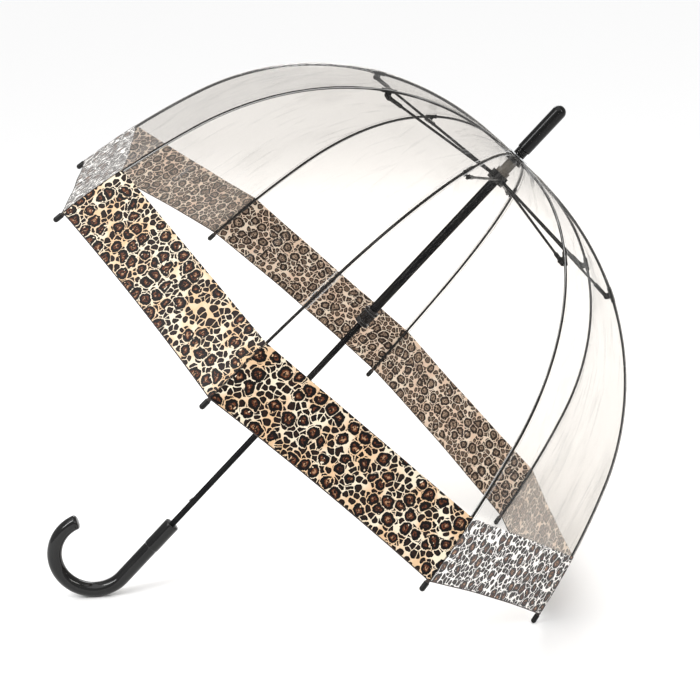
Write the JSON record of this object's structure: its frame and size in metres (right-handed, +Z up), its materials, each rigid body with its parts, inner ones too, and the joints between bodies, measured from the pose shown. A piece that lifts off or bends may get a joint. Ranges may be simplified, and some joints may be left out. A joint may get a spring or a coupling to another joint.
{
  "type": "umbrella",
  "caption": "Clear dome umbrella with a spotted border, sliding runner, folding ribs and crook handle, standing open on its handle and rim.",
  "frame": {"origin": "on the floor, under the middle of the open umbrella's box, as it leans on its crook and two rib tips", "axes": "+Z up from the floor; the shaft lies in the XZ plane, rising towards +X to the ferrule, with the crook at -X; +Y is across the dome"},
  "size_m": [0.7844, 0.82, 0.713],
  "materials": {
    "shaft_black": "gloss black enamel",
    "hub_black": "satin black moulding",
    "spacer_grey": "warm grey moulding",
    "washer_clear": "clear moulding",
    "ferrule_black": "high gloss black",
    "handle_black": "high gloss black",
    "grip_black": "gloss black moulding",
    "catch_steel": "blackened spring steel",
    "rib_black": "black glass-fibre rod with moulded ends",
    "film_clear": "clear soft vinyl film",
    "film_printed": "soft vinyl film printed with animal spots"
  },
  "bodies": {
    "shaft": {"shaft_tube": "shaft_black", "top_notch": "hub_black", "stop_spacer": "spacer_grey", "canopy_washer": "washer_clear", "ferrule": "ferrule_black", "handle_crook": "handle_black"},
    "runner": {"runner_crown": "hub_black", "runner_tube": "shaft_black", "runner_bushes": "hub_black", "runner_grip": "grip_black"},
    "upper_catch_body": {"upper_catch": "catch_steel"},
    "lower_catch_body": {"lower_catch": "catch_steel"},
    "rib_top_1": {"upper_rib_1": "rib_black"},
    "rib_end_1": {"lower_rib_1": "rib_black"},
    "stretcher_arm_1": {"stretcher_1": "rib_black"},
    "rib_top_2": {"upper_rib_2": "rib_black"},
    "rib_end_2": {"lower_rib_2": "rib_black"},
    "stretcher_arm_2": {"stretcher_2": "rib_black"},
    "rib_top_3": {"upper_rib_3": "rib_black"},
    "rib_end_3": {"lower_rib_3": "rib_black"},
    "stretcher_arm_3": {"stretcher_3": "rib_black"},
    "rib_top_4": {"upper_rib_4": "rib_black"},
    "rib_end_4": {"lower_rib_4": "rib_black"},
    "stretcher_arm_4": {"stretcher_4": "rib_black"},
    "rib_top_5": {"upper_rib_5": "rib_black"},
    "rib_end_5": {"lower_rib_5": "rib_black"},
    "stretcher_arm_5": {"stretcher_5": "rib_black"},
    "rib_top_6": {"upper_rib_6": "rib_black"},
    "rib_end_6": {"lower_rib_6": "rib_black"},
    "stretcher_arm_6": {"stretcher_6": "rib_black"},
    "rib_top_7": {"upper_rib_7": "rib_black"},
    "rib_end_7": {"lower_rib_7": "rib_black"},
    "stretcher_arm_7": {"stretcher_7": "rib_black"},
    "rib_top_8": {"upper_rib_8": "rib_black"},
    "rib_end_8": {"lower_rib_8": "rib_black"},
    "stretcher_arm_8": {"stretcher_8": "rib_black"},
    "gore_top_1": {"crown_gore_1": "film_clear"},
    "gore_skirt_1": {"skirt_gore_1": "film_clear", "border_1": "film_printed"},
    "gore_top_2": {"crown_gore_2": "film_clear"},
    "gore_skirt_2": {"skirt_gore_2": "film_clear", "border_2": "film_printed"},
    "gore_top_3": {"crown_gore_3": "film_clear"},
    "gore_skirt_3": {"skirt_gore_3": "film_clear", "border_3": "film_printed"},
    "gore_top_4": {"crown_gore_4": "film_clear"},
    "gore_skirt_4": {"skirt_gore_4": "film_clear", "border_4": "film_printed"},
    "gore_top_5": {"crown_gore_5": "film_clear"},
    "gore_skirt_5": {"skirt_gore_5": "film_clear", "border_5": "film_printed"},
    "gore_top_6": {"crown_gore_6": "film_clear"},
    "gore_skirt_6": {"skirt_gore_6": "film_clear", "border_6": "film_printed"},
    "gore_top_7": {"crown_gore_7": "film_clear"},
    "gore_skirt_7": {"skirt_gore_7": "film_clear", "border_7": "film_printed"},
    "gore_top_8": {"crown_gore_8": "film_clear"},
    "gore_skirt_8": {"skirt_gore_8": "film_clear", "border_8": "film_printed"}
  },
  "joints": [
    {"name": "runner_slide", "type": "slide", "parent": "shaft", "child": "runner", "axis": [-0.7029, 0, -0.7113], "range_m": [0, 0.37231]},
    {"name": "upper_catch_press", "type": "slide", "parent": "shaft", "child": "upper_catch_body", "axis": [0.7113, 0, -0.7029], "range_m": [0, 0.0016], "stiffness_N_per_m": 600, "springref_m": -0.001},
    {"name": "lower_catch_press", "type": "slide", "parent": "shaft", "child": "lower_catch_body", "axis": [0.7113, 0, -0.7029], "range_m": [0, 0.0016], "stiffness_N_per_m": 600, "springref_m": -0.001},
    {"name": "rib_hinge_1", "type": "hinge", "parent": "shaft", "child": "rib_top_1", "pos_m": [0.27134, -0.00383, 0.58219], "axis": [0.2722, 0.9239, -0.269], "range_deg": [0, 69.08]},
    {"name": "rib_flex_1", "type": "hinge", "parent": "rib_top_1", "child": "rib_end_1", "pos_m": [0.38876, -0.11206, 0.32925], "axis": [0.2722, 0.9239, -0.269], "range_deg": [-44.95, 0]},
    {"name": "stretcher_hinge_1", "type": "hinge", "parent": "runner", "child": "stretcher_arm_1", "pos_m": [0.24815, -0.00383, 0.55872], "axis": [0.2722, 0.9239, -0.269], "range_deg": [-86.46, 0]},
    {"name": "rib_hinge_2", "type": "hinge", "parent": "shaft", "child": "rib_top_2", "pos_m": [0.27134, 0.00383, 0.58219], "axis": [-0.2722, 0.9239, 0.269], "range_deg": [0, 69.08]},
    {"name": "rib_flex_2", "type": "hinge", "parent": "rib_top_2", "child": "rib_end_2", "pos_m": [0.38876, 0.11206, 0.32925], "axis": [-0.2722, 0.9239, 0.269], "range_deg": [-44.95, 0]},
    {"name": "stretcher_hinge_2", "type": "hinge", "parent": "runner", "child": "stretcher_arm_2", "pos_m": [0.24815, 0.00383, 0.55872], "axis": [-0.2722, 0.9239, 0.269], "range_deg": [-86.46, 0]},
    {"name": "rib_hinge_3", "type": "hinge", "parent": "shaft", "child": "rib_top_3", "pos_m": [0.26749, 0.00924, 0.586], "axis": [-0.6572, 0.3827, 0.6494], "range_deg": [0, 69.08]},
    {"name": "rib_flex_3", "type": "hinge", "parent": "rib_top_3", "child": "rib_end_3", "pos_m": [0.27603, 0.27055, 0.44064], "axis": [-0.6572, 0.3827, 0.6494], "range_deg": [-44.95, 0]},
    {"name": "stretcher_hinge_3", "type": "hinge", "parent": "runner", "child": "stretcher_arm_3", "pos_m": [0.2443, 0.00924, 0.56252], "axis": [-0.6572, 0.3827, 0.6494], "range_deg": [-86.46, 0]},
    {"name": "rib_hinge_4", "type": "hinge", "parent": "shaft", "child": "rib_top_4", "pos_m": [0.26205, 0.00924, 0.59138], "axis": [-0.6572, -0.3827, 0.6494], "range_deg": [0, 69.08]},
    {"name": "rib_flex_4", "type": "hinge", "parent": "rib_top_4", "child": "rib_end_4", "pos_m": [0.1166, 0.27055, 0.59818], "axis": [-0.6572, -0.3827, 0.6494], "range_deg": [-44.95, 0]},
    {"name": "stretcher_hinge_4", "type": "hinge", "parent": "runner", "child": "stretcher_arm_4", "pos_m": [0.23885, 0.00924, 0.5679], "axis": [-0.6572, -0.3827, 0.6494], "range_deg": [-86.46, 0]},
    {"name": "rib_hinge_5", "type": "hinge", "parent": "shaft", "child": "rib_top_5", "pos_m": [0.2582, 0.00383, 0.59518], "axis": [-0.2722, -0.9239, 0.269], "range_deg": [0, 69.08]},
    {"name": "rib_flex_5", "type": "hinge", "parent": "rib_top_5", "child": "rib_end_5", "pos_m": [0.00387, 0.11206, 0.70958], "axis": [-0.2722, -0.9239, 0.269], "range_deg": [-44.95, 0]},
    {"name": "stretcher_hinge_5", "type": "hinge", "parent": "runner", "child": "stretcher_arm_5", "pos_m": [0.235, 0.00383, 0.57171], "axis": [-0.2722, -0.9239, 0.269], "range_deg": [-86.46, 0]},
    {"name": "rib_hinge_6", "type": "hinge", "parent": "shaft", "child": "rib_top_6", "pos_m": [0.2582, -0.00383, 0.59518], "axis": [0.2722, -0.9239, -0.269], "range_deg": [0, 69.08]},
    {"name": "rib_flex_6", "type": "hinge", "parent": "rib_top_6", "child": "rib_end_6", "pos_m": [0.00387, -0.11206, 0.70958], "axis": [0.2722, -0.9239, -0.269], "range_deg": [-44.95, 0]},
    {"name": "stretcher_hinge_6", "type": "hinge", "parent": "runner", "child": "stretcher_arm_6", "pos_m": [0.235, -0.00383, 0.57171], "axis": [0.2722, -0.9239, -0.269], "range_deg": [-86.46, 0]},
    {"name": "rib_hinge_7", "type": "hinge", "parent": "shaft", "child": "rib_top_7", "pos_m": [0.26205, -0.00924, 0.59138], "axis": [0.6572, -0.3827, -0.6494], "range_deg": [0, 69.08]},
    {"name": "rib_flex_7", "type": "hinge", "parent": "rib_top_7", "child": "rib_end_7", "pos_m": [0.1166, -0.27055, 0.59818], "axis": [0.6572, -0.3827, -0.6494], "range_deg": [-44.95, 0]},
    {"name": "stretcher_hinge_7", "type": "hinge", "parent": "runner", "child": "stretcher_arm_7", "pos_m": [0.23885, -0.00924, 0.5679], "axis": [0.6572, -0.3827, -0.6494], "range_deg": [-86.46, 0]},
    {"name": "rib_hinge_8", "type": "hinge", "parent": "shaft", "child": "rib_top_8", "pos_m": [0.26749, -0.00924, 0.586], "axis": [0.6572, 0.3827, -0.6494], "range_deg": [0, 69.08]},
    {"name": "rib_flex_8", "type": "hinge", "parent": "rib_top_8", "child": "rib_end_8", "pos_m": [0.27603, -0.27055, 0.44064], "axis": [0.6572, 0.3827, -0.6494], "range_deg": [-44.95, 0]},
    {"name": "stretcher_hinge_8", "type": "hinge", "parent": "runner", "child": "stretcher_arm_8", "pos_m": [0.2443, -0.00924, 0.56252], "axis": [0.6572, 0.3827, -0.6494], "range_deg": [-86.46, 0]},
    {"name": "gore_hinge_1", "type": "hinge", "parent": "shaft", "child": "gore_top_1", "pos_m": [0.27615, 0, 0.58262], "axis": [0, 1, 0], "range_deg": [0, 66.45], "deforming": ["crown_gore_1"]},
    {"name": "gore_fold_1", "type": "hinge", "parent": "gore_top_1", "child": "gore_skirt_1", "pos_m": [0.39203, 0, 0.32951], "axis": [0, 1, 0], "range_deg": [-43.37, 0], "deforming": ["skirt_gore_1", "border_1"]},
    {"name": "gore_hinge_2", "type": "hinge", "parent": "shaft", "child": "gore_top_2", "pos_m": [0.27358, 0.00874, 0.58517], "axis": [-0.503, 0.7071, 0.497], "range_deg": [0, 66.45], "deforming": ["crown_gore_2"]},
    {"name": "gore_fold_2", "type": "hinge", "parent": "gore_top_2", "child": "gore_skirt_2", "pos_m": [0.33522, 0.19282, 0.38565], "axis": [-0.503, 0.7071, 0.497], "range_deg": [-43.37, 0], "deforming": ["skirt_gore_2", "border_2"]},
    {"name": "gore_hinge_3", "type": "hinge", "parent": "shaft", "child": "gore_top_3", "pos_m": [0.26736, 0.01236, 0.59131], "axis": [-0.7113, 0, 0.7029], "range_deg": [0, 66.45], "deforming": ["crown_gore_3"]},
    {"name": "gore_fold_3", "type": "hinge", "parent": "gore_top_3", "child": "gore_skirt_3", "pos_m": [0.19806, 0.27269, 0.52118], "axis": [-0.7113, 0, 0.7029], "range_deg": [-43.37, 0], "deforming": ["skirt_gore_3", "border_3"]},
    {"name": "gore_hinge_4", "type": "hinge", "parent": "shaft", "child": "gore_top_4", "pos_m": [0.26115, 0.00874, 0.59745], "axis": [-0.503, -0.7071, 0.497], "range_deg": [0, 66.45], "deforming": ["crown_gore_4"]},
    {"name": "gore_fold_4", "type": "hinge", "parent": "gore_top_4", "child": "gore_skirt_4", "pos_m": [0.06091, 0.19282, 0.65671], "axis": [-0.503, -0.7071, 0.497], "range_deg": [-43.37, 0], "deforming": ["skirt_gore_4", "border_4"]},
    {"name": "gore_hinge_5", "type": "hinge", "parent": "shaft", "child": "gore_top_5", "pos_m": [0.25857, 0, 0.6], "axis": [0, -1, 0], "range_deg": [0, 66.45], "deforming": ["crown_gore_5"]},
    {"name": "gore_fold_5", "type": "hinge", "parent": "gore_top_5", "child": "gore_skirt_5", "pos_m": [0.0041, 0, 0.71285], "axis": [0, -1, 0], "range_deg": [-43.37, 0], "deforming": ["skirt_gore_5", "border_5"]},
    {"name": "gore_hinge_6", "type": "hinge", "parent": "shaft", "child": "gore_top_6", "pos_m": [0.26115, -0.00874, 0.59745], "axis": [0.503, -0.7071, -0.497], "range_deg": [0, 66.45], "deforming": ["crown_gore_6"]},
    {"name": "gore_fold_6", "type": "hinge", "parent": "gore_top_6", "child": "gore_skirt_6", "pos_m": [0.06091, -0.19282, 0.65671], "axis": [0.503, -0.7071, -0.497], "range_deg": [-43.37, 0], "deforming": ["skirt_gore_6", "border_6"]},
    {"name": "gore_hinge_7", "type": "hinge", "parent": "shaft", "child": "gore_top_7", "pos_m": [0.26736, -0.01236, 0.59131], "axis": [0.7113, 0, -0.7029], "range_deg": [0, 66.45], "deforming": ["crown_gore_7"]},
    {"name": "gore_fold_7", "type": "hinge", "parent": "gore_top_7", "child": "gore_skirt_7", "pos_m": [0.19806, -0.27269, 0.52118], "axis": [0.7113, 0, -0.7029], "range_deg": [-43.37, 0], "deforming": ["skirt_gore_7", "border_7"]},
    {"name": "gore_hinge_8", "type": "hinge", "parent": "shaft", "child": "gore_top_8", "pos_m": [0.27358, -0.00874, 0.58517], "axis": [0.503, 0.7071, -0.497], "range_deg": [0, 66.45], "deforming": ["crown_gore_8"]},
    {"name": "gore_fold_8", "type": "hinge", "parent": "gore_top_8", "child": "gore_skirt_8", "pos_m": [0.33522, -0.19282, 0.38565], "axis": [0.503, 0.7071, -0.497], "range_deg": [-43.37, 0], "deforming": ["skirt_gore_8", "border_8"]}
  ],
  "couplings": [
    {"joint": "rib_hinge_1", "follows": "runner_slide", "rad_per_m": 3.2386},
    {"joint": "rib_flex_1", "follows": "runner_slide", "rad_per_m": -2.1074},
    {"joint": "stretcher_hinge_1", "follows": "runner_slide", "rad_per_m": -4.0532},
    {"joint": "rib_hinge_2", "follows": "runner_slide", "rad_per_m": 3.2386},
    {"joint": "rib_flex_2", "follows": "runner_slide", "rad_per_m": -2.1074},
    {"joint": "stretcher_hinge_2", "follows": "runner_slide", "rad_per_m": -4.0532},
    {"joint": "rib_hinge_3", "follows": "runner_slide", "rad_per_m": 3.2386},
    {"joint": "rib_flex_3", "follows": "runner_slide", "rad_per_m": -2.1074},
    {"joint": "stretcher_hinge_3", "follows": "runner_slide", "rad_per_m": -4.0532},
    {"joint": "rib_hinge_4", "follows": "runner_slide", "rad_per_m": 3.2386},
    {"joint": "rib_flex_4", "follows": "runner_slide", "rad_per_m": -2.1074},
    {"joint": "stretcher_hinge_4", "follows": "runner_slide", "rad_per_m": -4.0532},
    {"joint": "rib_hinge_5", "follows": "runner_slide", "rad_per_m": 3.2386},
    {"joint": "rib_flex_5", "follows": "runner_slide", "rad_per_m": -2.1074},
    {"joint": "stretcher_hinge_5", "follows": "runner_slide", "rad_per_m": -4.0532},
    {"joint": "rib_hinge_6", "follows": "runner_slide", "rad_per_m": 3.2386},
    {"joint": "rib_flex_6", "follows": "runner_slide", "rad_per_m": -2.1074},
    {"joint": "stretcher_hinge_6", "follows": "runner_slide", "rad_per_m": -4.0532},
    {"joint": "rib_hinge_7", "follows": "runner_slide", "rad_per_m": 3.2386},
    {"joint": "rib_flex_7", "follows": "runner_slide", "rad_per_m": -2.1074},
    {"joint": "stretcher_hinge_7", "follows": "runner_slide", "rad_per_m": -4.0532},
    {"joint": "rib_hinge_8", "follows": "runner_slide", "rad_per_m": 3.2386},
    {"joint": "rib_flex_8", "follows": "runner_slide", "rad_per_m": -2.1074},
    {"joint": "stretcher_hinge_8", "follows": "runner_slide", "rad_per_m": -4.0532},
    {"joint": "gore_hinge_1", "follows": "runner_slide", "rad_per_m": 3.115},
    {"joint": "gore_fold_1", "follows": "runner_slide", "rad_per_m": -2.0332},
    {"joint": "gore_hinge_2", "follows": "runner_slide", "rad_per_m": 3.115},
    {"joint": "gore_fold_2", "follows": "runner_slide", "rad_per_m": -2.0332},
    {"joint": "gore_hinge_3", "follows": "runner_slide", "rad_per_m": 3.115},
    {"joint": "gore_fold_3", "follows": "runner_slide", "rad_per_m": -2.0332},
    {"joint": "gore_hinge_4", "follows": "runner_slide", "rad_per_m": 3.115},
    {"joint": "gore_fold_4", "follows": "runner_slide", "rad_per_m": -2.0332},
    {"joint": "gore_hinge_5", "follows": "runner_slide", "rad_per_m": 3.115},
    {"joint": "gore_fold_5", "follows": "runner_slide", "rad_per_m": -2.0332},
    {"joint": "gore_hinge_6", "follows": "runner_slide", "rad_per_m": 3.115},
    {"joint": "gore_fold_6", "follows": "runner_slide", "rad_per_m": -2.0332},
    {"joint": "gore_hinge_7", "follows": "runner_slide", "rad_per_m": 3.115},
    {"joint": "gore_fold_7", "follows": "runner_slide", "rad_per_m": -2.0332},
    {"joint": "gore_hinge_8", "follows": "runner_slide", "rad_per_m": 3.115},
    {"joint": "gore_fold_8", "follows": "runner_slide", "rad_per_m": -2.0332}
  ]
}
